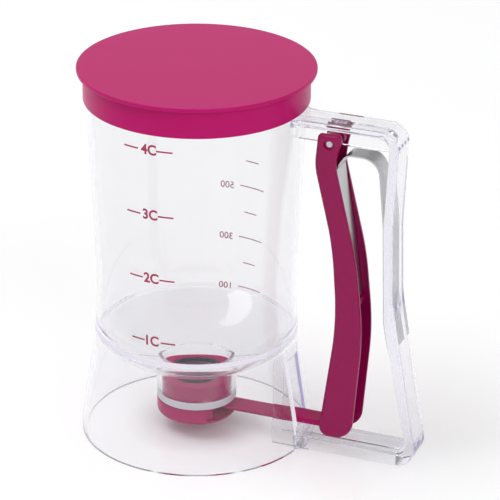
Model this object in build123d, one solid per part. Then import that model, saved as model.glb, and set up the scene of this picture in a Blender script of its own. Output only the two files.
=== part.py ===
from build123d import *
import math
import os

# Pancake batter dispenser: a clear jug with a funnel floor on a flared skirt, a clear D-handle,
# an over-cap lid, and a sliding gate under the outlet that a sprung trigger in the handle pulls open.
# Millimetres. +Z is up, the origin is on the jug's axis in the plane the skirt stands on,
# and the handle lies along +X.

# ---- overall sizes ----
OVERALL_HEIGHT = 190.0
FOOT_RADIUS = 57.0
FOOT_LAND = 6.5
FOOT_BLEND_REACH = 6.3
WAIST_RADIUS = 47.8
WAIST_HEIGHT = 64.5
WAIST_BLEND_REACH = 26.9
RIM_RADIUS = 53.8
WALL = 2.3

# ---- lid: a disc with a band that slips over the jug's neck ----
LID_OVERHANG = 3.4
LID_THICKNESS = 1.9
LID_EDGE_BEVEL = 0.5
LID_SEAT_GAP = 0.1
BAND_DEPTH = 14.0
BAND_WALL = 1.3
BAND_STAND_OUT = 0.4
BAND_CHAMFER = 0.4
NECK_GAP = 0.3
NECK_SHOULDER_GAP = 0.3

# ---- funnel floor and outlet boss ----
FUNNEL_RADIUS = 59.5
FUNNEL_CENTRE_HEIGHT = 93.6
FUNNEL_WALL = 2.6
BOSS_RADIUS = 19.6
BOSS_WALL = 2.3
BOSS_BOTTOM_HEIGHT = 20.4
BOSS_MOUTH_CHAMFER = 0.8
RIM_CHAMFER = 0.4

# ---- gate, and the slot and guide ribs it runs through ----
GATE_BOTTOM = 13.3
GATE_THICKNESS = 1.8
GATE_NECK_WIDTH = 10.5
GATE_LAP = 1.3
GATE_STEP_FROM_FOOT = 18.0
GATE_STEP_HEIGHT = 0.6
GATE_GAP = 0.2
GATE_FIT = 0.35
SLOT_TOP_HEIGHT = 46.0
SLOT_BOTTOM_HEIGHT = 11.0
SLOT_SIDE_CLEARANCE = 1.1
GUIDE_RIB_THICKNESS = 1.7
GUIDE_RIB_DEPTH = 14.0
GUIDE_RIB_FOOT_GAP = 1.0

# ---- valve: collar, throat seal, gasket and twist-on cap ----
OUTLET_RADIUS = 8.0
COLLAR_CLEARANCE = 0.05
COLLAR_TOP_HEIGHT = 28.0
COLLAR_HORN_WALL = 2.6
THROAT_STEP = 3.6
THROAT_CHAMFER = 0.6
SEAL_SLEEVE_WALL = 1.1
SEAL_SLEEVE_DEPTH = 4.4
SEAL_CONE_DEPTH = 1.6
GASKET_GAP = 0.2
GASKET_HEIGHT = 4.0
CAP_STAND_OUT = 0.1
CAP_WALL = 2.1
CAP_BOTTOM_HEIGHT = 7.4
CAP_FLOOR = 2.4
CAP_RIM_HEIGHT = 16.0
CAP_EDGE_ROUND = 3.4
CAP_SEAT_WIDTH = 2.4
CAP_TWIST = 36.0
WINDOW_START = -53.0
WINDOW_END = 75.0
LUG_ANGLES = (105.0, 245.0)
LUG_HALF_ANGLE = 5.0
LUG_ANGLE_GAP = 1.0
LUG_HEIGHT = 1.5
LUG_STAND_OUT = 1.1
LUG_GAP = 0.3
SINK = 1.0

# ---- handle ----
HANDLE_WIDTH = 17.0
ARM_DROP = 14.6
ARM_THICKNESS = 3.4
ARM_RIB_THICKNESS = 3.2
ARM_RIB_DEPTH = 9.0
LOWER_ARM_BOTTOM = 0.7
LOWER_ARM_DEPTH = 7.5
LOWER_ARM_WALL = 2.3
LOWER_HOLLOW_END = 5.6
ROOT_FLARE = 3.6
ROOT_FLARE_LENGTH = 6.0
HANDLE_EDGE_FILLET = 0.9
KNEE_SHARE = 0.72
HEEL_SHARE = 0.41
OUTER_HEEL_SHARE = 0.49
GRIP_BEND = 60.0

# ---- trigger ----
PIVOT_DROP = 9.9
PIVOT_OUT = 13.0
TRIGGER_WIDTH = 18.5
TRIGGER_WALL = 2.6
TRIGGER_EDGE_FILLET = 1.8
TRIGGER_HEAD_DROP = 5.3
TRIGGER_NECK_DROP = 21.9
TRIGGER_FOOT_HEIGHT = 10.0
TRIGGER_FLOOR = 1.2
TRIGGER_BEND_SHARE = 1.1
TRIGGER_INNER_CORNER = 2.5
TRIGGER_WINDOW_HEIGHT = 11.3
TRIGGER_WINDOW_GAP = 0.8
TRIGGER_TRAVEL = 6.5
HUB_RADIUS = 4.3
HUB_GAP = 0.35
HUB_RELIEF = 1.0
PIVOT_PIN_RADIUS = 1.6
PIVOT_RUNNING_GAP = 0.08
PIVOT_PIN_RECESS = 0.9
PIVOT_SINK_MARGIN = 1.0
LUG_ROUND_RADIUS = 4.2
LINK_BAR_OUT = 17.0
LINK_BAR_Z = 16.8
LINK_BAR_RADIUS = 1.6
LINK_GAP = 0.1
FORK_WALL = 1.9
FORK_WIDTH = 8.0

# ---- return spring ----
STRIP_WIDTH = 12.0
STRIP_THICKNESS = 0.8
STRIP_GAP = 0.15
STRIP_PAST_HEEL = 12.5
STRIP_FOOT_SHARE = 0.516
STRIP_BEND_SHARE = 0.74
STRIP_ARCH_DROP = 2.8
STRIP_CREST = 16.0
SEAT_THICKNESS = 3.0
SEAT_BACK_HEIGHT = 8.0
SEAT_LIP = 1.2

# ---- derived sizes and places ----
LID_RADIUS = RIM_RADIUS + LID_OVERHANG
RIM_HEIGHT = OVERALL_HEIGHT - LID_THICKNESS - LID_SEAT_GAP
DISC_BOTTOM = OVERALL_HEIGHT - LID_THICKNESS
BAND_RADIUS = RIM_RADIUS + BAND_STAND_OUT
NECK_RADIUS = BAND_RADIUS - BAND_WALL - NECK_GAP
NECK_BOTTOM = DISC_BOTTOM - BAND_DEPTH - NECK_SHOULDER_GAP
BOSS_BORE_RADIUS = BOSS_RADIUS - BOSS_WALL
CAP_RADIUS = BOSS_RADIUS + CAP_STAND_OUT
GATE_PADDLE_RADIUS = OUTLET_RADIUS + GATE_LAP
THROAT_RADIUS = OUTLET_RADIUS + THROAT_STEP
GATE_TOP = GATE_BOTTOM + GATE_THICKNESS
SEAT_HEIGHT = GATE_TOP + GATE_GAP
COLLAR_RADIUS = BOSS_BORE_RADIUS - COLLAR_CLEARANCE
CAP_FLOOR_TOP = CAP_BOTTOM_HEIGHT + CAP_FLOOR
HORN_BOTTOM = CAP_FLOOR_TOP + GASKET_GAP
ARM_TOP_HEIGHT = RIM_HEIGHT - ARM_DROP
ARM_UNDERSIDE = ARM_TOP_HEIGHT - ARM_THICKNESS
RIB_UNDERSIDE = ARM_UNDERSIDE - ARM_RIB_DEPTH
LOWER_ARM_TOP = LOWER_ARM_BOTTOM + LOWER_ARM_DEPTH
FOOT_TURN = math.atan2(FOOT_RADIUS - WAIST_RADIUS, WAIST_HEIGHT - FOOT_LAND)
CONE_LEAN = math.atan2(RIM_RADIUS - WAIST_RADIUS, RIM_HEIGHT - WAIST_HEIGHT)
WAIST_TURN = FOOT_TURN + CONE_LEAN
FOOT_BLEND = FOOT_BLEND_REACH / math.tan(abs(FOOT_TURN) / 2)
WAIST_BLEND = WAIST_BLEND_REACH / math.tan(abs(WAIST_TURN) / 2)
SIDE_X = max(FOOT_RADIUS, LID_RADIUS)
GRIP_LENGTH = ARM_UNDERSIDE - LOWER_ARM_TOP
KNEE_HEIGHT = LOWER_ARM_TOP + KNEE_SHARE * GRIP_LENGTH
HEEL_HEIGHT = LOWER_ARM_TOP + HEEL_SHARE * GRIP_LENGTH
OUTER_HEEL_HEIGHT = LOWER_ARM_TOP + OUTER_HEEL_SHARE * GRIP_LENGTH
GRIP_INNER = [
    (SIDE_X + 42.6, ARM_UNDERSIDE),
    (SIDE_X + 40.5, KNEE_HEIGHT),
    (SIDE_X + 42.0, HEEL_HEIGHT),
    (SIDE_X + 55.4, LOWER_ARM_TOP),
]
GRIP_OUTER = [
    (SIDE_X + 47.4, ARM_TOP_HEIGHT),
    (SIDE_X + 45.2, KNEE_HEIGHT),
    (SIDE_X + 46.2, OUTER_HEEL_HEIGHT),
    (SIDE_X + 61.1, LOWER_ARM_BOTTOM),
]
GRIP_INNER_RADII = [6.0, GRIP_BEND, GRIP_BEND, 4.0]
GRIP_OUTER_RADII = [9.0, GRIP_BEND, GRIP_BEND, 10.0]
PIVOT_X = SIDE_X + PIVOT_OUT
PIVOT_Z = ARM_TOP_HEIGHT - PIVOT_DROP
LINK_BAR_X = SIDE_X + LINK_BAR_OUT
HALF_CHEEK_GAP = TRIGGER_WIDTH / 2 - TRIGGER_WALL
HUB_INNER = ARM_RIB_THICKNESS / 2 + HUB_GAP
TRIGGER_TOP = ARM_TOP_HEIGHT - TRIGGER_HEAD_DROP
TRIGGER_NECK = ARM_TOP_HEIGHT - TRIGGER_NECK_DROP
LEVER_LENGTH = TRIGGER_NECK - TRIGGER_FOOT_HEIGHT
LEVER_BEND = TRIGGER_BEND_SHARE * LEVER_LENGTH
STRIP_ARCH_HEIGHT = RIB_UNDERSIDE - STRIP_ARCH_DROP
STRIP_END_HEIGHT = HEEL_HEIGHT - STRIP_PAST_HEEL
STRIP_FOOT_HEIGHT = TRIGGER_FOOT_HEIGHT + STRIP_FOOT_SHARE * LEVER_LENGTH
STRIP_BEND_HEIGHT = TRIGGER_FOOT_HEIGHT + STRIP_BEND_SHARE * LEVER_LENGTH
CLEAR = 300.0


def lever_height(share):
    """Height on the trigger at a share of the way from its foot to its neck."""
    return TRIGGER_FOOT_HEIGHT + share * LEVER_LENGTH


TRIGGER_FRONT = [
    (SIDE_X + 7.2, TRIGGER_TOP),
    (SIDE_X + 5.7, TRIGGER_NECK),
    (SIDE_X + 15.2, lever_height(0.72)),
    (SIDE_X + 18.1, lever_height(0.44)),
    (SIDE_X + 9.7, TRIGGER_FOOT_HEIGHT),
]
TRIGGER_BACK = [
    (SIDE_X + 26.7, TRIGGER_FOOT_HEIGHT),
    (SIDE_X + 31.4, lever_height(0.4)),
    (SIDE_X + 27.4, lever_height(0.67)),
    (SIDE_X + 15.8, TRIGGER_NECK + SINK),
    (SIDE_X + 19.3, TRIGGER_TOP),
]
TRIGGER_FRONT_RADII = [2.2, 30.0, LEVER_BEND, LEVER_BEND, 4.8]
TRIGGER_BACK_RADII = [9.5, LEVER_BEND, LEVER_BEND, 20.0, 2.2]


def cone_radius(z):
    """Outer radius of the straight cone between the waist and the rim, at height z."""
    return RIM_RADIUS + (WAIST_RADIUS - RIM_RADIUS) * (RIM_HEIGHT - z) / (RIM_HEIGHT - WAIST_HEIGHT)


def jug_core(inset=0.0):
    """Solid that fills the jug's outline, moved inwards by inset: skirt, waist and cone."""
    side = FilletPolyline(
        (FOOT_RADIUS - inset, 0),
        (FOOT_RADIUS - inset, FOOT_LAND),
        (WAIST_RADIUS - inset, WAIST_HEIGHT),
        (RIM_RADIUS - inset, RIM_HEIGHT),
        radius=[FOOT_BLEND, WAIST_BLEND],
    )
    inside = Polyline(side @ 1, (0, RIM_HEIGHT), (0, 0), side @ 0)
    return revolve_outline(side, inside)


def revolve_outline(*edges):
    """Solid of revolution about Z of the closed outline that the edges make in the XZ plane."""
    return revolve(Plane.XZ * make_face(Curve() + list(edges)), Axis.Z, 360)


def ring(r_in, r_out, z_low, z_high):
    """Plain upright ring."""
    outer = Pos(0, 0, z_low) * extrude(Circle(r_out), z_high - z_low)
    return outer - Pos(0, 0, z_low) * extrude(Circle(r_in), z_high - z_low)


def sector(r_in, r_out, start, end, z_low, z_high):
    """Part of a ring between two angles, in degrees from +X."""
    first = [(r * math.cos(math.radians(start)), r * math.sin(math.radians(start))) for r in (r_in, r_out)]
    last = [(r * math.cos(math.radians(end)), r * math.sin(math.radians(end))) for r in (r_in, r_out)]
    middle = math.radians((start + end) / 2)
    outline = Curve() + [
        Line(first[0], first[1]),
        ThreePointArc(first[1], (r_out * math.cos(middle), r_out * math.sin(middle)), last[1]),
        Line(last[1], last[0]),
        ThreePointArc(last[0], (r_in * math.cos(middle), r_in * math.sin(middle)), first[0]),
    ]
    return Pos(0, 0, z_low) * extrude(make_face(outline), z_high - z_low)


def side_slab(face, half_width):
    """A face drawn as (x, z), made solid to half_width each side of the middle plane."""
    return extrude(Plane.XZ * face, half_width, both=True)


def block(x_low, x_high, half_width, z_low, z_high):
    """Rectangular block centred on the middle plane."""
    size = (x_high - x_low, 2 * half_width, z_high - z_low)
    return Pos((x_low + x_high) / 2, 0, (z_low + z_high) / 2) * Box(*size)


def cross_bar(x, z, radius, y_from, y_to):
    """Round bar along Y at (x, z)."""
    bar = Plane((x, y_from, z), z_dir=(0, 1, 0)) * Circle(radius)
    return extrude(bar, y_to - y_from)


def point_at(points, z):
    """X at height z on the straight runs through the points."""
    for (x_a, z_a), (x_b, z_b) in zip(points, points[1:]):
        if min(z_a, z_b) <= z <= max(z_a, z_b):
            return x_a + (x_b - x_a) * (z - z_a) / (z_b - z_a)
    raise ValueError(f"height {z} is off the outline")


# ---- jug ----
def make_jug():
    shell = jug_core() - jug_core(WALL) - ring(NECK_RADIUS, RIM_RADIUS + WALL, NECK_BOTTOM, OVERALL_HEIGHT)
    rim_edges = shell.edges().filter_by(GeomType.CIRCLE).group_by(Axis.Z)[-1]
    shell = chamfer(rim_edges, RIM_CHAMFER)
    bowl_outside = Pos(0, 0, FUNNEL_CENTRE_HEIGHT) * Sphere(FUNNEL_RADIUS + FUNNEL_WALL)
    bowl_inside = Pos(0, 0, FUNNEL_CENTRE_HEIGHT) * Sphere(FUNNEL_RADIUS)
    lower_half = block(-FOOT_RADIUS, FOOT_RADIUS, FOOT_RADIUS, 0, FUNNEL_CENTRE_HEIGHT)
    bowl = (bowl_outside - bowl_inside) & lower_half & jug_core(WALL / 2)
    boss = ring(BOSS_BORE_RADIUS, BOSS_RADIUS, BOSS_BOTTOM_HEIGHT, WAIST_HEIGHT) - bowl_inside
    bore = Pos(0, 0, BOSS_BOTTOM_HEIGHT) * extrude(Circle(BOSS_BORE_RADIUS), WAIST_HEIGHT)
    slot_half = GATE_NECK_WIDTH / 2 + SLOT_SIDE_CLEARANCE
    ribs = guide_ribs(slot_half) & jug_core(WALL / 2)
    return shell + (bowl - bore) + boss + (ribs - bowl_outside) - slot_cut(slot_half) - mouth_chamfer()


def mouth_chamfer():
    """Cone that breaks the edge where the funnel runs into the boss's bore."""
    drop = math.sqrt(FUNNEL_RADIUS**2 - BOSS_BORE_RADIUS**2)
    mouth_z = FUNNEL_CENTRE_HEIGHT - drop
    size = BOSS_MOUTH_CHAMFER
    return Pos(0, 0, mouth_z) * Cone(BOSS_BORE_RADIUS - size, BOSS_BORE_RADIUS + size, 2 * size)


def guide_ribs(slot_half):
    """Two upright ribs inside the skirt that flank the gate's slot, from the foot to the funnel."""
    inner_x = FOOT_RADIUS - GUIDE_RIB_DEPTH
    outer = block(inner_x, FOOT_RADIUS, slot_half + GUIDE_RIB_THICKNESS, GUIDE_RIB_FOOT_GAP, WAIST_HEIGHT)
    return outer - block(0, CLEAR, slot_half, 0, CLEAR)


def slot_cut(slot_half):
    """Slot through the skirt, tall enough for the gate's fork to pass at assembly."""
    inner_x = FOOT_RADIUS - GUIDE_RIB_DEPTH
    return block(inner_x, FOOT_RADIUS + WALL, slot_half, SLOT_BOTTOM_HEIGHT, SLOT_TOP_HEIGHT)


# ---- handle ----
def handle_outlines():
    """Outer and inner outlines of the D, as rounded polylines from the jug round to the jug."""
    outer = FilletPolyline((0, ARM_TOP_HEIGHT), *GRIP_OUTER, (0, LOWER_ARM_BOTTOM), radius=GRIP_OUTER_RADII)
    inner = FilletPolyline((0, ARM_UNDERSIDE), *GRIP_INNER, (0, LOWER_ARM_TOP), radius=GRIP_INNER_RADII)
    return outer, inner


def closed(outline):
    """Face between a D outline and the jug's axis."""
    ends = (outline @ 1, outline @ 0)
    return make_face(Curve() + [outline, Line(ends[0], ends[1])])


def make_handle():
    outer, inner = handle_outlines()
    loop = side_slab(closed(outer) - closed(inner), HANDLE_WIDTH / 2)
    long_edges = loop.edges().filter_by(lambda e: abs(abs(e.center().Y) - HANDLE_WIDTH / 2) < 0.01)
    long_edges = long_edges.filter_by(lambda e: e.center().X > SINK)
    loop = fillet(long_edges, HANDLE_EDGE_FILLET)
    rib_end = GRIP_INNER[0][0] - SINK
    rib = block(0, rib_end, ARM_RIB_THICKNESS / 2, RIB_UNDERSIDE, ARM_UNDERSIDE + ARM_THICKNESS / 2)
    lug = cross_bar(PIVOT_X, PIVOT_Z, LUG_ROUND_RADIUS, -ARM_RIB_THICKNESS / 2, ARM_RIB_THICKNESS / 2)
    hole = cross_bar(PIVOT_X, PIVOT_Z, PIVOT_PIN_RADIUS, -HANDLE_WIDTH, HANDLE_WIDTH)
    hollow = block(
        FOOT_RADIUS + LOWER_ARM_WALL,
        GRIP_INNER[-1][0] - LOWER_HOLLOW_END,
        HANDLE_WIDTH / 2 - LOWER_ARM_WALL,
        LOWER_ARM_BOTTOM - SINK,
        LOWER_ARM_TOP - LOWER_ARM_WALL,
    )
    handle = loop + rib + lug - hole - hollow
    handle += root_flare(cone_radius(ARM_TOP_HEIGHT), ARM_UNDERSIDE, ARM_TOP_HEIGHT)
    handle += root_flare(FOOT_RADIUS, LOWER_ARM_BOTTOM, LOWER_ARM_TOP)
    return handle - jug_core()


def root_flare(wall_x, z_low, z_high):
    """Widening of an arm where it meets the jug's wall, with hollow curved sides."""
    half = HANDLE_WIDTH / 2
    tip = (wall_x + ROOT_FLARE_LENGTH, half)
    root = (wall_x - WALL, half + ROOT_FLARE)
    bend = ((tip[0] + 2 * root[0]) / 3, half + ROOT_FLARE / 4)
    mirrored = [(p[0], -p[1]) for p in (tip, bend, root)]
    outline = Curve() + [
        ThreePointArc(tip, bend, root),
        Line(root, mirrored[2]),
        ThreePointArc(mirrored[2], mirrored[1], mirrored[0]),
        Line(mirrored[0], tip),
    ]
    return Pos(0, 0, z_low) * extrude(make_face(outline), z_high - z_low)


def make_pivot_pin():
    half = TRIGGER_WIDTH / 2 - PIVOT_PIN_RECESS
    return cross_bar(PIVOT_X, PIVOT_Z, PIVOT_PIN_RADIUS, -half, half)


# ---- trigger ----
def make_trigger():
    """Channel lever: a web on the jug's side and two cheeks, open towards the grip."""
    radii = [*TRIGGER_FRONT_RADII, *TRIGGER_BACK_RADII]
    outline = FilletPolyline(*TRIGGER_FRONT, *TRIGGER_BACK, radius=radii, close=True)
    trigger = side_slab(make_face(outline), TRIGGER_WIDTH / 2)
    side_edges = trigger.edges().filter_by(lambda e: abs(abs(e.center().Y) - TRIGGER_WIDTH / 2) < 0.01)
    trigger = fillet(side_edges, TRIGGER_EDGE_FILLET)
    trigger -= channel_hollow() - inner_details()
    bore_radius = PIVOT_PIN_RADIUS + PIVOT_RUNNING_GAP
    trigger -= cross_bar(PIVOT_X, PIVOT_Z, bore_radius, -TRIGGER_WIDTH, TRIGGER_WIDTH)
    sink_radius = PIVOT_PIN_RADIUS + PIVOT_SINK_MARGIN
    sink_floor = TRIGGER_WIDTH / 2 - PIVOT_PIN_RECESS
    trigger -= cross_bar(PIVOT_X, PIVOT_Z, sink_radius, sink_floor, TRIGGER_WIDTH)
    return trigger - cross_bar(PIVOT_X, PIVOT_Z, sink_radius, -TRIGGER_WIDTH, -sink_floor)


def inner_details():
    """What is left standing between the cheeks: two hubs on the pivot, the link bar, the spring's seat."""
    details = strip_seat()
    details += cross_bar(LINK_BAR_X, LINK_BAR_Z, LINK_BAR_RADIUS, -TRIGGER_WIDTH, TRIGGER_WIDTH)
    details += cross_bar(PIVOT_X, PIVOT_Z, HUB_RADIUS, HUB_INNER, TRIGGER_WIDTH)
    return details + cross_bar(PIVOT_X, PIVOT_Z, HUB_RADIUS, -TRIGGER_WIDTH, -HUB_INNER)


def channel_hollow():
    """Space between the cheeks, with the open head and the gate's window through the web."""
    web = [(x + TRIGGER_WALL, z) for x, z in TRIGGER_FRONT[:-1]]
    floor_z = TRIGGER_FOOT_HEIGHT + TRIGGER_FLOOR
    corners = [(TRIGGER_FRONT[-1][0] + TRIGGER_WALL, floor_z), (CLEAR, floor_z), (CLEAR, TRIGGER_TOP)]
    radii = [*TRIGGER_FRONT_RADII[:-1], *[TRIGGER_INNER_CORNER] * len(corners)]
    outline = FilletPolyline(*web, *corners, radius=radii, close=True)
    hollow = side_slab(make_face(outline), HALF_CHEEK_GAP)
    hollow += block(0, CLEAR, HALF_CHEEK_GAP, PIVOT_Z - HUB_RADIUS - HUB_RELIEF, CLEAR)
    window_half = GATE_NECK_WIDTH / 2 + TRIGGER_WINDOW_GAP
    return hollow + block(0, LINK_BAR_X, window_half, floor_z, floor_z + TRIGGER_WINDOW_HEIGHT)


def strip_seat():
    """Cross rib with a step, on which the spring's short leg ends."""
    back_z = STRIP_FOOT_HEIGHT + SEAT_BACK_HEIGHT
    stand_off = STRIP_THICKNESS / 2 + STRIP_GAP
    foot_x, top_x = point_at(strip_leg(), STRIP_FOOT_HEIGHT), point_at(strip_leg(), back_z)
    web_x = point_at(TRIGGER_FRONT, STRIP_FOOT_HEIGHT) + TRIGGER_WALL / 2
    lip_x = foot_x + stand_off + SEAT_LIP
    step_z = STRIP_FOOT_HEIGHT - STRIP_GAP
    outline = Polyline(
        (web_x, step_z - SEAT_THICKNESS),
        (lip_x, step_z - SEAT_THICKNESS),
        (lip_x, step_z),
        (foot_x - stand_off, step_z),
        (top_x - stand_off, back_z),
        (web_x, back_z),
        close=True,
    )
    return side_slab(make_face(outline), TRIGGER_WIDTH)


# ---- return spring ----
def strip_leg():
    """Points of the spring's short leg, which runs down between the trigger's cheeks."""
    return [
        (SIDE_X + 25.7, STRIP_FOOT_HEIGHT),
        (SIDE_X + 21.8, STRIP_BEND_HEIGHT),
        (SIDE_X + 15.8, TRIGGER_NECK - SINK),
    ]


def make_return_spring():
    """Flat strip: the short leg in the trigger, a crest under the arm's rib, the long leg on the grip."""
    stand_off = STRIP_THICKNESS / 2 + STRIP_GAP
    grip_x = point_at(GRIP_INNER, STRIP_END_HEIGHT) - stand_off - STRIP_GAP
    crest_x = SIDE_X + 20.8
    line = FilletPolyline(
        *strip_leg(),
        (crest_x, STRIP_ARCH_HEIGHT),
        (crest_x + STRIP_CREST, STRIP_ARCH_HEIGHT),
        (GRIP_INNER[1][0] - stand_off, GRIP_INNER[1][1]),
        (GRIP_INNER[2][0] - stand_off, GRIP_INNER[2][1]),
        (grip_x, STRIP_END_HEIGHT),
        radius=[100.0, 3.0, 5.0, 9.0, GRIP_BEND, 40.0],
    )
    return side_slab(trace(line, STRIP_THICKNESS), STRIP_WIDTH / 2)


# ---- gate ----
def make_gate():
    neck_half = GATE_NECK_WIDTH / 2
    gate = Pos(0, 0, GATE_BOTTOM) * extrude(Circle(GATE_PADDLE_RADIUS), GATE_THICKNESS)
    fork_half_length = LINK_BAR_RADIUS + LINK_GAP + FORK_WALL
    gate += block(0, LINK_BAR_X - fork_half_length, neck_half, GATE_BOTTOM, GATE_TOP)
    step_top = GATE_TOP + GATE_STEP_HEIGHT
    step_x = FOOT_RADIUS - GATE_STEP_FROM_FOOT
    gate += block(step_x, LINK_BAR_X - fork_half_length, neck_half, GATE_BOTTOM, step_top)
    arc = math.radians(TRIGGER_TRAVEL)
    reach = math.hypot(LINK_BAR_X - PIVOT_X, LINK_BAR_Z - PIVOT_Z)
    rise = reach * (1 - math.cos(arc)) + (LINK_BAR_X - PIVOT_X) * math.sin(arc)
    fork_top = LINK_BAR_Z + rise + LINK_BAR_RADIUS
    fork_ends = (LINK_BAR_X - fork_half_length, LINK_BAR_X + fork_half_length)
    gate += block(*fork_ends, FORK_WIDTH / 2, GATE_BOTTOM, fork_top)
    slot_half = LINK_BAR_RADIUS + LINK_GAP
    gate -= block(LINK_BAR_X - slot_half, LINK_BAR_X + slot_half, FORK_WIDTH, LINK_BAR_Z, fork_top + SINK)
    return gate - cross_bar(LINK_BAR_X, LINK_BAR_Z, slot_half, -FORK_WIDTH, FORK_WIDTH)


# ---- valve ----
def make_collar():
    """Insert in the boss: the throat above, horns and the gate's passage below, two bayonet lugs."""
    collar = ring(THROAT_RADIUS, COLLAR_RADIUS, SEAT_HEIGHT, COLLAR_TOP_HEIGHT)
    throat_edge = collar.edges().filter_by(GeomType.CIRCLE).group_by(Axis.Z)[-1].sort_by(SortBy.RADIUS)[0]
    collar = chamfer(throat_edge, THROAT_CHAMFER)
    horn_inner = COLLAR_RADIUS - COLLAR_HORN_WALL
    horn_opening = math.degrees(math.asin((GATE_PADDLE_RADIUS + GATE_FIT) / horn_inner))
    collar += sector(
        horn_inner, COLLAR_RADIUS, horn_opening, 360 - horn_opening, HORN_BOTTOM, SEAT_HEIGHT + SINK
    )
    for middle in LUG_ANGLES:
        ends = (middle - LUG_HALF_ANGLE, middle + LUG_HALF_ANGLE)
        heights = (HORN_BOTTOM, HORN_BOTTOM + LUG_HEIGHT)
        collar += sector(COLLAR_RADIUS - SINK, COLLAR_RADIUS + LUG_STAND_OUT, *ends, *heights)
    return collar


def make_gate_seal():
    """Soft lining of the throat: a thin sleeve on top, a cone, and a thick ring that the gate wipes."""
    sleeve_top = COLLAR_TOP_HEIGHT - THROAT_CHAMFER
    cone_top = sleeve_top - SEAL_SLEEVE_DEPTH
    sleeve_inner = THROAT_RADIUS - SEAL_SLEEVE_WALL
    outline = Polyline(
        (OUTLET_RADIUS, SEAT_HEIGHT),
        (THROAT_RADIUS, SEAT_HEIGHT),
        (THROAT_RADIUS, sleeve_top),
        (sleeve_inner, sleeve_top),
        (sleeve_inner, cone_top),
        (OUTLET_RADIUS, cone_top - SEAL_CONE_DEPTH),
        close=True,
    )
    return revolve_outline(outline)


def make_gasket():
    return ring(BOSS_BORE_RADIUS, BOSS_RADIUS, BOSS_BOTTOM_HEIGHT - GASKET_HEIGHT, BOSS_BOTTOM_HEIGHT)


def rounding(radius, share):
    """Point on a quarter round, from level (share 0) to straight down (share 1)."""
    turn = share * math.pi / 2
    return radius * math.cos(turn), radius * math.sin(turn)


def make_cap():
    """Twist-on cup under the boss, with the outlet, a seat ring for the gate and a side window."""
    inner = CAP_RADIUS - CAP_WALL
    seat_top = GATE_BOTTOM - GATE_GAP
    facets = [rounding(CAP_EDGE_ROUND, share) for share in (0, 1 / 3, 2 / 3, 1)]
    corners = [(CAP_RADIUS - CAP_EDGE_ROUND + x, CAP_BOTTOM_HEIGHT + CAP_EDGE_ROUND - z) for x, z in facets]
    rim = [(0, CAP_RIM_HEIGHT), (CAP_RADIUS, CAP_RIM_HEIGHT)]
    cap = revolve_outline(Polyline(*rim, *corners, (0, CAP_BOTTOM_HEIGHT), close=True))
    cap -= Pos(0, 0, CAP_FLOOR_TOP) * extrude(Circle(inner), CLEAR)
    cap += ring(OUTLET_RADIUS, OUTLET_RADIUS + CAP_SEAT_WIDTH, CAP_FLOOR_TOP - SINK, seat_top)
    cap -= extrude(Circle(OUTLET_RADIUS), CLEAR)
    cap -= sector(inner - SINK, CAP_RADIUS + SINK, WINDOW_START, WINDOW_END, seat_top, CLEAR)
    reach = LUG_HALF_ANGLE + LUG_ANGLE_GAP
    groove_radius = COLLAR_RADIUS + LUG_STAND_OUT + LUG_GAP
    groove_top = HORN_BOTTOM + LUG_HEIGHT + LUG_GAP
    for middle in LUG_ANGLES:
        entry = middle + CAP_TWIST
        cap -= sector(inner - SINK, groove_radius, middle - reach, entry + reach, CAP_FLOOR_TOP, groove_top)
        cap -= sector(inner - SINK, groove_radius, entry - reach, entry + reach, CAP_FLOOR_TOP, CLEAR)
    return cap


# ---- lid ----
def make_lid():
    """Flat disc with a band under it that slips over the jug's neck."""
    disc = Pos(0, 0, DISC_BOTTOM) * extrude(Circle(LID_RADIUS), LID_THICKNESS)
    disc = chamfer(disc.edges().filter_by(GeomType.CIRCLE), LID_EDGE_BEVEL)
    heights = (DISC_BOTTOM - BAND_DEPTH, DISC_BOTTOM + LID_THICKNESS / 2)
    band = ring(BAND_RADIUS - BAND_WALL, BAND_RADIUS, *heights)
    band = chamfer(band.edges().filter_by(GeomType.CIRCLE).group_by(Axis.Z)[0], BAND_CHAMFER)
    return disc + band


PARTS = {
    "jug_body": make_jug,
    "handle": make_handle,
    "lid": make_lid,
    "trigger": make_trigger,
    "pivot_pin": make_pivot_pin,
    "return_spring": make_return_spring,
    "slide_gate": make_gate,
    "valve_collar": make_collar,
    "gate_seal": make_gate_seal,
    "boss_gasket": make_gasket,
    "valve_cap": make_cap,
}

os.makedirs("parts", exist_ok=True)
for name, make in PARTS.items():
    solid = make()
    export_step(solid, f"parts/{name}.step")
    print(name, round(solid.volume / 1000, 2), "cm3", len(solid.solids()), "solid")
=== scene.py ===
import math

import bmesh
import bpy
from mathutils import Matrix, Vector


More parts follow.
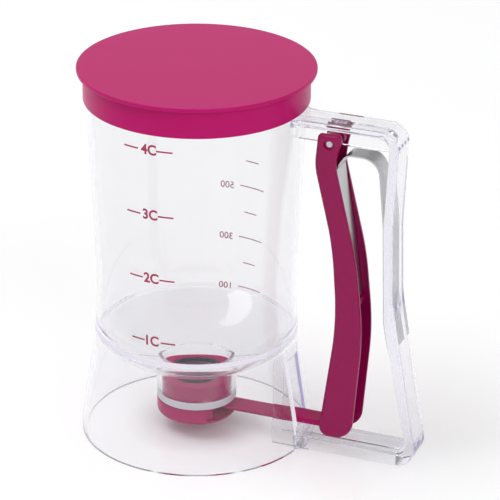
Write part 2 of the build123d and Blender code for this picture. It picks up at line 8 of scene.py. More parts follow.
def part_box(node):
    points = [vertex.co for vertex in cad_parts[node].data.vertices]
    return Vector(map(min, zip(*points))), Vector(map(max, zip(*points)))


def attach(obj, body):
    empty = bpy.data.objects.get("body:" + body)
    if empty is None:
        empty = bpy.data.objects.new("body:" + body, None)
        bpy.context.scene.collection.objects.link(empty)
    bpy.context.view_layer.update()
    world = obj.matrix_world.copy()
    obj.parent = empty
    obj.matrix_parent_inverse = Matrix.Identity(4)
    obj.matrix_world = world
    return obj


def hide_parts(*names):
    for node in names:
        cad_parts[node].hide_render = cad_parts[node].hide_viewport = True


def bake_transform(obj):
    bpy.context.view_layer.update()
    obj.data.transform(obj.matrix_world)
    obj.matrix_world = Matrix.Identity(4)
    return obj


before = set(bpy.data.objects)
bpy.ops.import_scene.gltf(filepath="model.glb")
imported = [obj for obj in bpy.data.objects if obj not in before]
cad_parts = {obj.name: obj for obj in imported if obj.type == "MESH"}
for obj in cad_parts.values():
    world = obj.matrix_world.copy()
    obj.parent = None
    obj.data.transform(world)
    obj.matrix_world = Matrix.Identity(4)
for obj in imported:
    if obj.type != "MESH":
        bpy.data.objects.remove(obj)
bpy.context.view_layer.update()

# Looks of a hand-held batter dispenser: a clear jug with a funnel floor, a clear D-handle, a
# magenta over-cap lid, and a magenta trigger and valve. Metres, +Z up, the handle along +X.

# MERGE joins doubled points, HAIR keeps two faces out of one plane, SINK is how far one shape runs
# into or past another before they are joined or cut, and CLEAR reaches past everything.
MM = 0.001
MERGE = 0.001 * MM
HAIR = 0.02 * MM
SINK = 1.0 * MM
CLEAR = 300.0 * MM

# ---- how finely the curves are cut, and the angles in degrees that make an edge ----
TURN_STEPS = 192
FEWEST_TURN_STEPS = 4
ARC_STEPS = 12
WALL_STEPS = 20
BOWL_STEPS = 36
BOWL_CORNER_STEPS = 24
BOSS_ROUND_STEPS = 8
LID_STEPS = 6
COLLAR_STEPS = 5
SEAL_STEPS = 4
CAP_STEPS = 8
STRIP_STEPS = 16
BAR_STEPS = 48
LETTER_STEPS = 8
LINE_POINTS = 14
BEVEL_SEGMENTS = 4
FINE_BEVEL_SEGMENTS = 3
WIDE_BEVEL_SEGMENTS = 6
BEVEL_ANGLE = 40
CUT_EDGE_ANGLE = 30
TURNED_EDGE_ANGLE = 35


def top_of(node):
    """Height of the top of a CAD node."""
    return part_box(node)[1].z


def bottom_of(node):
    """Height of the bottom of a CAD node."""
    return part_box(node)[0].z


# ---- sizes of the jug ----
FOOT_RADIUS = 57.0 * MM
FOOT_LAND = 6.5 * MM
FOOT_BLEND = 80.0 * MM
WAIST_RADIUS = 47.8 * MM
WAIST_HEIGHT = 64.5 * MM
WAIST_BLEND = 260.0 * MM
RIM_RADIUS = 53.8 * MM
RIM_HEIGHT = top_of("jug_body")
RIM_ROUND = 0.4 * MM
WALL = 2.3 * MM
NECK_RADIUS = 52.6 * MM
NECK_DEPTH = 14.2 * MM
BOWL_RADIUS = 59.5 * MM
BOWL_CENTRE = 92.1 * MM
BOWL_WALL = 1.6 * MM
BOWL_CORNER = 1.5 * MM
BOSS_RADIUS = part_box("boss_gasket")[1].x
BOSS_WALL = 2.3 * MM
BORE_RADIUS = BOSS_RADIUS - BOSS_WALL
BOSS_BOTTOM = top_of("boss_gasket")
BOSS_MOUTH_ROUND = 0.4 * MM
BOSS_ROOT_ROUND = 0.7 * MM
SLOT_HALF_WIDTH = 6.35 * MM
SLOT_BOTTOM = 11.0 * MM
SLOT_TOP = 46.0 * MM
SLOT_INNER_X = 45.6 * MM
GUIDE_RIB_THICKNESS = 1.7 * MM
GUIDE_RIB_X = FOOT_RADIUS - 14.0 * MM
GUIDE_RIB_FOOT_GAP = 1.0 * MM
GUIDE_RIB_TOPS = (46.5 * MM, 51.0 * MM)

# ---- sizes of the lid ----
LID_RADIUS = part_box("lid")[1].x
LID_TOP = top_of("lid")
LID_THICKNESS = 1.9 * MM
LID_EDGE = 0.45 * MM
BAND_RADIUS = 54.2 * MM
BAND_WALL = 1.3 * MM
BAND_BOTTOM = bottom_of("lid")
BAND_ROOT_ROUND = 0.35 * MM
BAND_EDGE = 0.4 * MM

# ---- sizes of the handle ----
HANDLE_HALF_WIDTH = 8.5 * MM
HANDLE_EDGE = 0.9 * MM
ARM_TOP = top_of("handle")
ARM_UNDERSIDE = ARM_TOP - 3.4 * MM
ARM_RIB_HALF = 1.6 * MM
ARM_RIB_BOTTOM = ARM_UNDERSIDE - 9.0 * MM
RIB_EDGE = 0.35 * MM
LOWER_ARM_BOTTOM = bottom_of("handle")
LOWER_ARM_TOP = LOWER_ARM_BOTTOM + 7.5 * MM
LOWER_ARM_WALL = 2.3 * MM
LOWER_HOLLOW_END = 5.6 * MM
ROOT_FLARE = 3.6 * MM
ROOT_FLARE_LENGTH = 6.0 * MM
GRIP_LENGTH = ARM_UNDERSIDE - LOWER_ARM_TOP
KNEE_HEIGHT = LOWER_ARM_TOP + 0.72 * GRIP_LENGTH
HEEL_HEIGHT = LOWER_ARM_TOP + 0.41 * GRIP_LENGTH
OUTER_HEEL_HEIGHT = LOWER_ARM_TOP + 0.49 * GRIP_LENGTH
GRIP_BEND = 60.0 * MM
GRIP_INNER = [
    (LID_RADIUS + 42.6 * MM, ARM_UNDERSIDE),
    (LID_RADIUS + 40.5 * MM, KNEE_HEIGHT),
    (LID_RADIUS + 42.0 * MM, HEEL_HEIGHT),
    (LID_RADIUS + 55.4 * MM, LOWER_ARM_TOP),
]
GRIP_OUTER = [
    (LID_RADIUS + 47.4 * MM, ARM_TOP),
    (LID_RADIUS + 45.2 * MM, KNEE_HEIGHT),
    (LID_RADIUS + 46.2 * MM, OUTER_HEEL_HEIGHT),
    (LID_RADIUS + 61.1 * MM, LOWER_ARM_BOTTOM),
]
GRIP_INNER_RADII = [6.0 * MM, GRIP_BEND, GRIP_BEND, 4.0 * MM]
GRIP_OUTER_RADII = [9.0 * MM, GRIP_BEND, GRIP_BEND, 10.0 * MM]

# ---- sizes of the trigger, its pivot and the spring ----
PIVOT = (LID_RADIUS + 13.0 * MM, ARM_TOP - 9.9 * MM)
PIN_RADIUS = 1.6 * MM
PIN_HALF_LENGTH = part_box("pivot_pin")[1].y
PIN_EDGE = 0.3 * MM
PIN_SINK_RADIUS = 2.6 * MM
RUNNING_GAP = 0.08 * MM
LUG_ROUND = 4.2 * MM
TRIGGER_HALF_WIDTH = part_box("trigger")[1].y
TRIGGER_WALL = 2.6 * MM
TRIGGER_EDGE = 1.8 * MM
TRIGGER_TOP = top_of("trigger")
TRIGGER_NECK = ARM_TOP - 21.9 * MM
TRIGGER_FOOT = bottom_of("trigger")
TRIGGER_FLOOR = 1.2 * MM
TRIGGER_INNER_ROUND = 2.5 * MM
LEVER_LENGTH = TRIGGER_NECK - TRIGGER_FOOT
LEVER_BEND = 1.1 * LEVER_LENGTH
HUB_RADIUS = 4.3 * MM
HUB_INNER = ARM_RIB_HALF + 0.35 * MM
HUB_RELIEF = 1.0 * MM
WINDOW_HALF_WIDTH = 6.05 * MM
WINDOW_HEIGHT = 11.3 * MM
LINK_BAR = (LID_RADIUS + 17.0 * MM, 16.8 * MM)
LINK_BAR_RADIUS = 1.6 * MM
STRIP_HALF_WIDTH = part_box("return_spring")[1].y
STRIP_THICKNESS = 0.8 * MM
STRIP_GAP = 0.15 * MM
STRIP_STAND_OFF = STRIP_THICKNESS / 2 + STRIP_GAP
STRIP_FOOT = TRIGGER_FOOT + 0.516 * LEVER_LENGTH
STRIP_END = HEEL_HEIGHT - 12.5 * MM
STRIP_CREST = ARM_RIB_BOTTOM - 2.8 * MM
STRIP_CREST_X = LID_RADIUS + 20.8 * MM
STRIP_CREST_LENGTH = 16.0 * MM
SEAT_THICKNESS = 3.0 * MM
SEAT_BACK = 8.0 * MM
SEAT_LIP = 1.2 * MM


def lever_height(share):
    """Height on the trigger at a share of the way from its foot to its neck."""
    return TRIGGER_FOOT + share * LEVER_LENGTH


TRIGGER_FRONT = [
    (LID_RADIUS + 7.2 * MM, TRIGGER_TOP),
    (LID_RADIUS + 5.7 * MM, TRIGGER_NECK),
    (LID_RADIUS + 15.2 * MM, lever_height(0.72)),
    (LID_RADIUS + 18.1 * MM, lever_height(0.44)),
    (LID_RADIUS + 9.7 * MM, TRIGGER_FOOT),
]
TRIGGER_BACK = [
    (LID_RADIUS + 26.7 * MM, TRIGGER_FOOT),
    (LID_RADIUS + 31.4 * MM, lever_height(0.4)),
    (LID_RADIUS + 27.4 * MM, lever_height(0.67)),
    (LID_RADIUS + 15.8 * MM, TRIGGER_NECK + SINK),
    (LID_RADIUS + 19.3 * MM, TRIGGER_TOP),
]
TRIGGER_FRONT_RADII = [2.2 * MM, 30.0 * MM, LEVER_BEND, LEVER_BEND, 4.8 * MM]
TRIGGER_BACK_RADII = [9.5 * MM, LEVER_BEND, LEVER_BEND, 20.0 * MM, 2.2 * MM]
STRIP_LEG = [
    (LID_RADIUS + 25.7 * MM, STRIP_FOOT),
    (LID_RADIUS + 21.8 * MM, lever_height(0.74)),
    (LID_RADIUS + 15.8 * MM, TRIGGER_NECK - SINK),
]
STRIP_RADII = [100 * MM, 3 * MM, 5 * MM, 9 * MM, GRIP_BEND, 40 * MM]

# ---- sizes of the valve ----
OUTLET_RADIUS = 8.0 * MM
COLLAR_RADIUS = 17.25 * MM
COLLAR_TOP = top_of("valve_collar")
COLLAR_BOTTOM = bottom_of("valve_collar")
SEAT_HEIGHT = bottom_of("gate_seal")
THROAT_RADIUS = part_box("gate_seal")[1].x
THROAT_EDGE = 0.6 * MM
HORN_WALL = 2.6 * MM
PADDLE_RADIUS = 9.3 * MM
PADDLE_FIT = 0.35 * MM
SLEEVE_RADIUS = THROAT_RADIUS - 1.1 * MM
SLEEVE_DEPTH = 4.4 * MM
CONE_DEPTH = 1.6 * MM
SEAL_EDGE = 0.3 * MM
LUG_ANGLES = (105.0, 245.0)
LUG_HALF_ANGLE = 5.0
LUG_HEIGHT = 1.5 * MM
LUG_STAND_OUT = 1.1 * MM
LUG_GAP = 0.3 * MM
LUG_PLAY_ANGLE = 1.0
CAP_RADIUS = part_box("valve_cap")[1].x
CAP_WALL = 2.1 * MM
CAP_BOTTOM = bottom_of("valve_cap")
CAP_TOP = top_of("valve_cap")
CAP_FLOOR = 2.4 * MM
CAP_EDGE_ROUND = 3.4 * MM
CAP_RIM_ROUND = 0.4 * MM
CAP_SEAT_WIDTH = 2.4 * MM
CAP_TWIST = 36.0
CAP_WINDOW = (-53.0, 75.0)
GATE_BOTTOM = bottom_of("slide_gate")
GATE_GAP = 0.2 * MM


# ---- mesh helpers ----
def placed(name, data):
    """New object in the scene for a mesh, text, lamp or camera."""
    holder = bpy.data.objects.new(name, data)
    bpy.context.scene.collection.objects.link(holder)
    return holder


def evaluated(holder):
    """Mesh of an object, with its modifiers or its text worked out."""
    graph = bpy.context.evaluated_depsgraph_get()
    return bpy.data.meshes.new_from_object(holder.evaluated_get(graph))


def new_piece(name, mesh, material):
    """Object at the origin that shows a mesh in one material."""
    mesh.name = name
    piece = placed(name, mesh)
    mesh.materials.clear()
    mesh.materials.append(material)
    return piece


def finished(piece, body, slot, *nodes):
    """Ties a piece to its body and hides the CAD nodes that it stands for. Its finish (slot) is not
    used.
    """
    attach(piece, body)
    if nodes:
        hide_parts(*nodes)


def built(name, bm, turn_outwards=True):
    """Mesh made from a bmesh, its doubles merged and, unless told not to, its faces outwards."""
    bmesh.ops.remove_doubles(bm, verts=bm.verts, dist=MERGE)
    if turn_outwards:
        bmesh.ops.recalc_face_normals(bm, faces=bm.faces)
    mesh = bpy.data.meshes.new(name)
    bm.to_mesh(mesh)
    bm.free()
    return mesh


def reshaped(mesh, kind, **settings):
    """What one modifier makes of a mesh."""
    holder = placed("holder", mesh)
    modifier = holder.modifiers.new(kind, kind)
    for name, value in settings.items():
        setattr(modifier, name, value)
    result = evaluated(holder)
    bpy.data.objects.remove(holder)
    return result


def edges_rounded(mesh, radius, segments=BEVEL_SEGMENTS):
    """Mesh with its clear edges rounded."""
    limits = {"limit_method": "ANGLE", "angle_limit": math.radians(BEVEL_ANGLE)}
    return reshaped(mesh, "BEVEL", width=radius, segments=segments, **limits)


def combined(mesh, tool_mesh, operation):
    """What one boolean with another mesh makes of a mesh."""
    tool = placed("tool", tool_mesh)
    result = reshaped(mesh, "BOOLEAN", operation=operation, object=tool, solver="EXACT")
    bpy.data.objects.remove(tool)
    return result


def joined(mesh, *tools):
    """Mesh with the tools added, one after another."""
    for tool in tools:
        mesh = combined(mesh, tool, "UNION")
    return mesh


def cut(mesh, *tools):
    """Mesh with the tools taken away, one after another."""
    for tool in tools:
        mesh = combined(mesh, tool, "DIFFERENCE")
    return mesh


def shaded(mesh, degrees):
    """Smooth shading across every edge that turns by less than the angle, even over flat faces."""
    mesh.shade_smooth()
    mesh.set_sharp_from_angle(angle=math.radians(degrees))
    return reshaped(mesh, "WEIGHTED_NORMAL", keep_sharp=True)


def arc(centre, start, turn, steps):
    """Points of an arc about a centre, from a first arm through a turn."""
    turns = [Matrix.Rotation(-turn * i / steps, 2) for i in range(steps + 1)]
    return [tuple(centre + step @ start) for step in turns]


def corner_arc(before, corner, after, radius, steps):
    """Points of the arc that rounds one corner of an outline."""
    here = Vector(corner)
    back = (Vector(before) - here).normalized()
    ahead = (Vector(after) - here).normalized()
    half = back.angle(ahead) / 2
    reach = radius / math.tan(half)
    centre = here + (back + ahead).normalized() * radius / math.sin(half)
    start, end = here + back * reach - centre, here + ahead * reach - centre
    return arc(centre, start, start.angle_signed(end), steps)


def rounded(corners, radii, steps=ARC_STEPS):
    """Open outline through the corners, with each inner corner rounded to its radius."""
    points = [corners[0]]
    for before, corner, after, radius in zip(corners, corners[1:], corners[2:], radii):
        points += corner_arc(before, corner, after, radius, steps)
    return points + [corners[-1]]


def rounded_loop(corners, radii, steps=ARC_STEPS):
    """Closed outline through the corners, each rounded to its radius."""
    befores, afters = corners[-1:] + corners[:-1], corners[1:] + corners[:1]
    points = []
    for before, corner, after, radius in zip(befores, corners, afters, radii):
        points += corner_arc(before, corner, after, radius, steps)
    return points


def lathe(name, profile, start=0.0, end=360.0):
    """Closed (radius, height) profile turned about Z, between two angles in degrees."""
    bm = bmesh.new()
    whole = end - start >= 360
    steps = max(FEWEST_TURN_STEPS, round(TURN_STEPS * (end - start) / 360))
    rings = []
    for step in range(steps if whole else steps + 1):
        turn = math.radians(start + (end - start) * step / steps)
        along, across = math.cos(turn), math.sin(turn)
        rings.append([bm.verts.new((r * along, r * across, z)) for r, z in profile])
    for here, ahead in zip(rings, rings[1:] + rings[:1] if whole else rings[1:]):
        for i, (radius, _) in enumerate(profile):
            following = (i + 1) % len(profile)
            if radius or profile[following][0]:
                bm.faces.new((here[i], ahead[i], ahead[following], here[following]))
    if not whole:
        bm.faces.new(rings[0])
        bm.faces.new(rings[-1])
    return built(name, bm)


def tube(name, inner, outer, low, high, start, end):
    """Sector of a plain upright ring, between two angles in degrees."""
    return lathe(name, [(outer, low), (outer, high), (inner, high), (inner, low)], start, end)


def slab(name, outline, half_width, middle=0.0):
    """Closed plate of an (x, z) outline, half_width each side of a plane across Y."""
    bm = bmesh.new()
    sides = []
    for y in (middle - half_width, middle + half_width):
        sides.append([bm.verts.new((x, y, z)) for x, z in outline])
        bm.faces.new(sides[-1])
    for i in range(len(outline)):
        bm.faces.new((sides[0][i], sides[0][i - 1], sides[1][i - 1], sides[1][i]))
    return built(name, bm)


def upright(name, outline, low, high):
    """Closed plate of an (x, y) outline between two heights."""
    flat = slab(name, outline, (high - low) / 2)
    middle = Matrix.Translation((0, 0, (low + high) / 2))
    flat.transform(middle @ Matrix.Rotation(math.radians(90), 4, "X"))
    return flat


def block(name, x_ends, half_width, z_ends):
    """Closed box centred on the middle plane."""
    near, far = x_ends
    low, high = z_ends
    return slab(name, [(near, low), (far, low), (far, high), (near, high)], half_width)


def cross_bar(name, centre, radius, y_ends):
    """Closed round bar along Y."""
    x, z = centre
    low, high = y_ends
    turns = [2 * math.pi * i / BAR_STEPS for i in range(BAR_STEPS)]
    outline = [(x + radius * math.cos(t), z + radius * math.sin(t)) for t in turns]
    return slab(name, outline, (high - low) / 2, (low + high) / 2)


def x_at(points, height):
    """X at a height on the straight runs through the points."""
    for (x_a, z_a), (x_b, z_b) in zip(points, points[1:]):
        if min(z_a, z_b) <= height <= max(z_a, z_b):
            return x_a + (x_b - x_a) * (height - z_a) / (z_b - z_a)
    raise ValueError("the height is off the outline")


# ---- materials ----
DRIFT_SCALE, DRIFT_DETAIL = 18.0, 3.0
GRAIN_SCALE, GRAIN_DETAIL = 2600.0, 2.0
GRAIN_ROUGHNESS = 0.05
GRAIN_DEPTH = 0.02 * MM
CLEAR_IOR = 1.40
RIPPLE_SCALE, RIPPLE_DETAIL = 22.0, 1.0
RIPPLE_ROUGHNESS = (0.0, 0.03)
TRAPPED_DEPTH = 10.0
LAMP_SHARE = (0.965, 0.972, 0.975)
STEEL = (0.50, 0.50, 0.51)
STEEL_LINE_STRETCH = (60.0, 4000.0, 60.0)
STEEL_LINE_DETAIL = 2.0
STEEL_ROUGHNESS = (0.22, 0.38)


def node_material(name):
    """New material with its nodes, its links and its shader."""
    material = bpy.data.materials.new(name)
    material.use_nodes = True
    nodes = material.node_tree.nodes
    return material, nodes, material.node_tree.links, nodes["Principled BSDF"]


def noise(nodes, links, place, scale, detail):
    """Noise value over the piece."""
    texture = nodes.new("ShaderNodeTexNoise")
    texture.inputs["Scale"].default_value = scale
    texture.inputs["Detail"].default_value = detail
    links.new(place, texture.inputs["Vector"])
    return texture.outputs["Fac"]


def spread(nodes, links, value, results, ends=(0.0, 1.0)):
    """Value that runs between the two results while its source runs between the two ends."""
    node = nodes.new("ShaderNodeMapRange")
    node.inputs["From Min"].default_value, node.inputs["From Max"].default_value = ends
    node.inputs["To Min"].default_value, node.inputs["To Max"].default_value = results
    links.new(value, node.inputs["Value"])
    return node.outputs["Result"]


def fed(links, node, *values):
    """First output of a node whose inputs take numbers or sockets, in order."""
    for socket, value in zip(node.inputs, values):
        if isinstance(value, (int, float)):
            socket.default_value = value
        else:
            links.new(value, socket)
    return node.outputs[0]


def maths(nodes, links, operation, *values):
    """Result of one operation on numbers or sockets."""
    node = nodes.new("ShaderNodeMath")
    node.operation = operation
    return fed(links, node, *values)


def highest(nodes, links, *sources):
    """Largest of several 0 or 1 values."""
    value = sources[0]
    for source in sources[1:]:
        value = maths(nodes, links, "MAXIMUM", value, source)
    return value


def mixed(nodes, links, share, first, second):
    """Shader that goes from the first to the second as the share goes from 0 to 1."""
    return fed(links, nodes.new("ShaderNodeMixShader"), share, first, second)


def moulded_plastic(name, colour, roughness, grain, tone_spread, shine=0.5):
    """Coloured moulded plastic: a fine satin grain and a slight drift of tone through the piece."""
    material, nodes, links, shader = node_material(name)
    shader.inputs["Specular IOR Level"].default_value = shine
    place = nodes.new("ShaderNodeTexCoord").outputs["Object"]
    drift = noise(nodes, links, place, DRIFT_SCALE, DRIFT_DETAIL)
    tone = nodes.new("ShaderNodeMix")
    tone.data_type = "RGBA"
    tone.inputs["A"].default_value = (*(c * (1 - tone_spread) for c in colour), 1)
    tone.inputs["B"].default_value = (*(min(1, c * (1 + tone_spread)) for c in colour), 1)
    links.new(drift, tone.inputs["Factor"])
    links.new(tone.outputs["Result"], shader.inputs["Base Color"])
    speckle = noise(nodes, links, place, GRAIN_SCALE, GRAIN_DETAIL)
    ends = (roughness - GRAIN_ROUGHNESS, roughness + GRAIN_ROUGHNESS)
    links.new(spread(nodes, links, speckle, ends), shader.inputs["Roughness"])
    bump = nodes.new("ShaderNodeBump")
    bump.inputs["Strength"].default_value = grain
    bump.inputs["Distance"].default_value = GRAIN_DEPTH
    links.new(speckle, bump.inputs["Height"])
    links.new(bump.outputs["Normal"], shader.inputs["Normal"])
    return material


def clear_plastic(name, tint, depth_colour, depth_density, painted_trapped_glow):
    """Clear styrene: glossy, faintly violet through its depth, with a slow ripple from moulding.

    A ray that has bounced too often ends in a painted glow, a flat emission standing in for the
    light that would reach it. Shadow and diffuse rays go straight through.
    """
    material, nodes, links, shader = node_material(name)
    shader.inputs["Base Color"].default_value = (*tint, 1)
    shader.inputs["Transmission Weight"].default_value = 1.0
    shader.inputs["IOR"].default_value = CLEAR_IOR
    place = nodes.new("ShaderNodeTexCoord").outputs["Object"]
    ripple = noise(nodes, links, place, RIPPLE_SCALE, RIPPLE_DETAIL)
    links.new(spread(nodes, links, ripple, RIPPLE_ROUGHNESS), shader.inputs["Roughness"])
    glow = nodes.new("ShaderNodeEmission")
    glow.inputs["Color"].default_value = (*painted_trapped_glow, 1)
    passing = nodes.new("ShaderNodeBsdfTransparent")
    passing.inputs["Color"].default_value = (*LAMP_SHARE, 1)
    path = nodes.new("ShaderNodeLightPath").outputs
    trapped = maths(nodes, links, "GREATER_THAN", path["Ray Depth"], TRAPPED_DEPTH)
    body = mixed(nodes, links, trapped, shader.outputs["BSDF"], glow.outputs["Emission"])
    unseen = highest(nodes, links, path["Is Shadow Ray"], path["Is Diffuse Ray"])
    surface = mixed(nodes, links, unseen, body, passing.outputs["BSDF"])
    output = nodes["Material Output"]
    links.new(surface, output.inputs["Surface"])
    depth = nodes.new("ShaderNodeVolumeAbsorption")
    depth.inputs["Color"].default_value = (*depth_colour, 1)
    depth.inputs["Density"].default_value = depth_density
    links.new(depth.outputs["Volume"], output.inputs["Volume"])
    return material


def rolled_steel(name):
    """Spring strip: bright rolled steel with fine lines along its length."""
    material, nodes, links, shader = node_material(name)
    shader.inputs["Base Color"].default_value = (*STEEL, 1)
    shader.inputs["Metallic"].default_value = 1.0
    place = nodes.new("ShaderNodeTexCoord")
    stretch = nodes.new("ShaderNodeMapping")
    stretch.inputs["Scale"].default_value = STEEL_LINE_STRETCH
    links.new(place.outputs["Object"], stretch.inputs["Vector"])
    lines = noise(nodes, links, stretch.outputs["Vector"], 1.0, STEEL_LINE_DETAIL)
    links.new(spread(nodes, links, lines, STEEL_ROUGHNESS), shader.inputs["Roughness"])
    return material


MAGENTA = (0.56, 0.004, 0.155)
DEEP_MAGENTA = (0.48, 0.002, 0.125)
# The trigger's colour is the lid's magenta darkened to about 0.6: painted shade for the trigger's
# shaded faces.
SHADED_TRIGGER_MAGENTA = (0.34, 0.0015, 0.092)
PALE_GREY = (0.82, 0.80, 0.86)
SILICONE_GREY = (0.72, 0.68, 0.74)
# The outlet lining is a real silicone part, but its near-black colour is painted shade for the deep
# throat of the outlet.
SEAL_PAINTED_SHADE = (0.085, 0.055, 0.095)
INK = (0.44, 0.012, 0.090)
lid_plastic = moulded_plastic(
    "Satin magenta lid", MAGENTA, roughness=0.32, grain=0.20, tone_spread=0.03, shine=0.15
)
shaded_trigger_plastic = moulded_plastic(
    "Magenta trigger with painted shade", SHADED_TRIGGER_MAGENTA, roughness=0.24, grain=0.12, tone_spread=0.03, shine=0.25
)
valve_plastic = moulded_plastic(
    "Magenta valve", DEEP_MAGENTA, roughness=0.22, grain=0.10, tone_spread=0.03, shine=0.15
)
# The last colour of each clear plastic is a painted glow for rays that bounce too often: bright in
# the jug, dim violet in the handle.
clear_jug = clear_plastic(
    "Clear jug",
    tint=(0.942, 0.943, 0.950),
    depth_colour=(0.76, 0.73, 0.86),
    depth_density=12.0,
    painted_trapped_glow=(0.91, 0.89, 0.93),
)
clear_handle = clear_plastic(
    "Clear handle",
    tint=(0.946, 0.945, 0.955),
    depth_colour=(0.74, 0.72, 0.82),
    depth_density=30.0,
    painted_trapped_glow=(0.50, 0.49, 0.60),
)
pin_plastic = moulded_plastic("Pale pin", PALE_GREY, roughness=0.25, grain=0.1, tone_spread=0.02)
pale_silicone = moulded_plastic(
    "Pale silicone", SILICONE_GREY, roughness=0.45, grain=0.1, tone_spread=0.02
)
painted_shade_silicone = moulded_plastic(
    "Silicone with painted shade", SEAL_PAINTED_SHADE, roughness=0.40, grain=0.1, tone_spread=0.05
)
spring_steel = rolled_steel("Rolled spring steel")
scale_ink = moulded_plastic("Scale ink", INK, roughness=0.45, grain=0.1, tone_spread=0.04)


# ---- jug: skirt, waist, wall, bowl and boss in one turned shape, then the ribs and the slot ----
def wall_line(inset):
    """(radius, height) points of the wall from the foot to the rim."""
    corners = [
        (FOOT_RADIUS - inset, 0),
        (FOOT_RADIUS - inset, FOOT_LAND),
        (WAIST_RADIUS - inset, WAIST_HEIGHT),
        (RIM_RADIUS - inset, RIM_HEIGHT),
    ]
    return rounded(corners, [FOOT_BLEND, WAIST_BLEND], WALL_STEPS)


def cone_radius(height):
    """Outer radius of the wall's straight upper cone at a height."""
    share = (RIM_HEIGHT - height) / (RIM_HEIGHT - WAIST_HEIGHT)
    return RIM_RADIUS + (WAIST_RADIUS - RIM_RADIUS) * share


def wall_radius(height, inset):
    """Radius of the wall at a height."""
    line = wall_line(inset)
    for (r0, z0), (r1, z1) in zip(line, line[1:]):
        if z0 <= height <= z1:
            return r0 + (r1 - r0) * (height - z0) / (z1 - z0)
    raise ValueError("the height is off the wall")


def bowl_arc(sphere, start, end):
    """Points along the bowl between two points on it, evenly spaced in angle."""
    first, last = math.asin(start[0] / sphere), math.asin(end[0] / sphere)
    angles = [first + (last - first) * i / BOWL_STEPS for i in range(1, BOWL_STEPS)]
    return [(sphere * math.sin(a), BOWL_CENTRE - sphere * math.cos(a)) for a in angles]


def rolled_corner(upright_radius, sphere, roll, steps):
    """Arc from an upright wall into the bowl. Roll is its radius, below 0 towards the axis."""
    centre = Vector((upright_radius + roll, 0))
    centre.y = BOWL_CENTRE - math.sqrt((sphere + roll) ** 2 - centre.x**2)
    bowl = Vector((0, BOWL_CENTRE))
    at_wall = Vector((upright_radius, centre.y)) - centre
    at_bowl = bowl + (centre - bowl) * sphere / (sphere + roll) - centre
    return arc(centre, at_wall, at_wall.angle_signed(at_bowl), steps)


def jug_profile():
    """Closed (radius, height) outline of the jug, from the outside of its foot up and back."""
    shoulder = RIM_HEIGHT - NECK_DEPTH
    outside = [p for p in wall_line(0) if p[1] < shoulder]
    inside = wall_line(WALL)
    corner_radius = wall_radius(WAIST_HEIGHT, WALL)
    above = rolled_corner(corner_radius, BOWL_RADIUS, -BOWL_CORNER, BOWL_CORNER_STEPS)
    mouth = rolled_corner(BORE_RADIUS, BOWL_RADIUS, BOSS_MOUTH_ROUND, BOSS_ROUND_STEPS)
    under_sphere = BOWL_RADIUS + BOWL_WALL
    root = rolled_corner(BOSS_RADIUS, under_sphere, BOSS_ROOT_ROUND, BOSS_ROUND_STEPS)
    meeting = (corner_radius, BOWL_CENTRE - math.sqrt(under_sphere**2 - corner_radius**2))
    inner_rim = RIM_RADIUS - WALL
    profile = outside + [(cone_radius(shoulder), shoulder), (NECK_RADIUS, shoulder)]
    profile += [(NECK_RADIUS, RIM_HEIGHT - RIM_ROUND), (NECK_RADIUS - RIM_ROUND, RIM_HEIGHT)]
    profile += [(inner_rim + RIM_ROUND, RIM_HEIGHT), (inner_rim, RIM_HEIGHT - RIM_ROUND)]
    profile += [p for p in reversed(inside[:-1]) if p[1] > above[0][1] + MM]
    profile += above + bowl_arc(BOWL_RADIUS, above[-1], mouth[-1]) + mouth[::-1]
    profile += [(BORE_RADIUS, BOSS_BOTTOM), (BOSS_RADIUS, BOSS_BOTTOM)]
    profile += root + bowl_arc(under_sphere, root[-1], meeting) + [meeting]
    profile += [p for p in reversed(inside) if p[1] < meeting[1] - MM]
    return profile


def guide_rib(side):
    """Upright rib inside the skirt, beside the gate's slot, from the foot up to the bowl."""
    low, (inner_top, outer_top) = GUIDE_RIB_FOOT_GAP, GUIDE_RIB_TOPS
    wall = [p for p in reversed(wall_line(WALL / 2)) if low < p[1] < outer_top]
    outline = [(GUIDE_RIB_X, low), (GUIDE_RIB_X, inner_top)]
    outline += [(wall_radius(outer_top, WALL / 2), outer_top), *wall, (wall[-1][0], low)]
    half = GUIDE_RIB_THICKNESS / 2
    return slab("rib", outline, half, side * (SLOT_HALF_WIDTH + half))


def make_jug():
    """Jug with its funnel floor, the two ribs and the slot for the gate."""
    mesh = joined(lathe("jug", jug_profile()), guide_rib(-1), guide_rib(1))
    slot_ends = (SLOT_INNER_X, FOOT_RADIUS + WALL)
    mesh = cut(mesh, block("slot", slot_ends, SLOT_HALF_WIDTH - HAIR, (SLOT_BOTTOM, SLOT_TOP)))
    jug = new_piece("clear_jug", shaded(mesh, CUT_EDGE_ANGLE), clear_jug)
    finished(jug, "jug", "clear_jug", "jug_body")


# ---- lid: a flat disc with a fine edge, and the band under it that slips over the neck ----
def make_lid():
    """Disc and band in one turned shape."""
    disc_bottom = LID_TOP - LID_THICKNESS
    inner = BAND_RADIUS - BAND_WALL
    corners = [
        (0, LID_TOP),
        (LID_RADIUS, LID_TOP),
        (LID_RADIUS, disc_bottom),
        (BAND_RADIUS, disc_bottom),
        (BAND_RADIUS, BAND_BOTTOM),
        (inner, BAND_BOTTOM),
        (inner, disc_bottom),
        (0, disc_bottom),
    ]
    radii = [LID_EDGE, LID_EDGE, BAND_ROOT_ROUND, BAND_EDGE, BAND_EDGE, BAND_ROOT_ROUND]
    mesh = shaded(lathe("lid", rounded(corners, radii, LID_STEPS)), TURNED_EDGE_ANGLE)
    finished(new_piece("over_cap_lid", mesh, lid_plastic), "lid", "magenta_lid", "lid")


